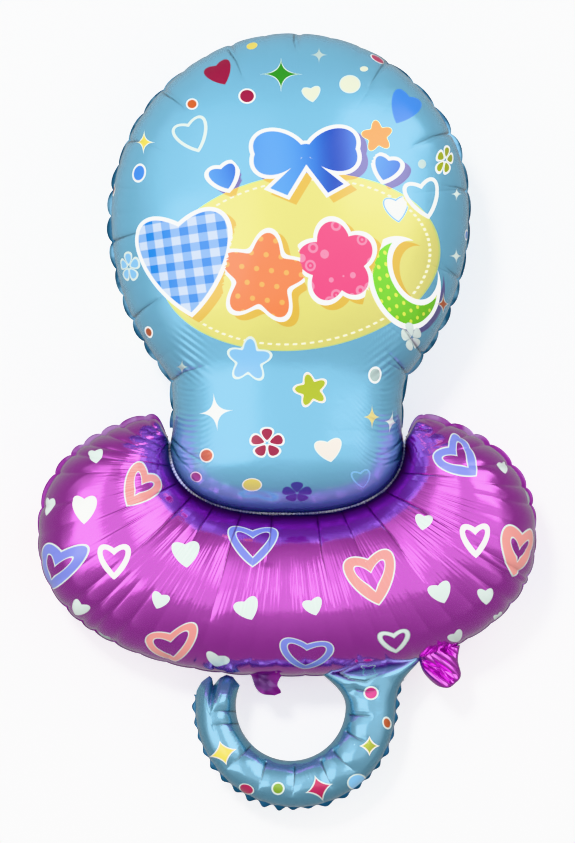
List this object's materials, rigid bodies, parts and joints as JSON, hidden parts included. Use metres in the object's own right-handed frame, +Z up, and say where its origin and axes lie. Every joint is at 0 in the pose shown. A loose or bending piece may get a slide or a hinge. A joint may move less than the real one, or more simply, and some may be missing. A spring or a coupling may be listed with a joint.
{
  "type": "pacifier foil balloon",
  "caption": "Inflated foil balloon in the shape of a baby's pacifier, lying on its back: round teat, wide shield and ring handle.",
  "frame": {"origin": "centre of the bounding box, on the level surface that the balloon lies on", "axes": "+X to the right seen from the front of the print, +Y from the handle to the teat, +Z up, out of the printed front"},
  "size_m": [0.576, 0.897, 0.252],
  "materials": {
    "blue_foil": "metallised plastic film, light blue lacquer with printed motifs",
    "magenta_foil": "metallised plastic film, magenta lacquer with printed hearts"
  },
  "bodies": {
    "root": {"foil_envelope": "blue_foil"}
  },
  "joints": []
}
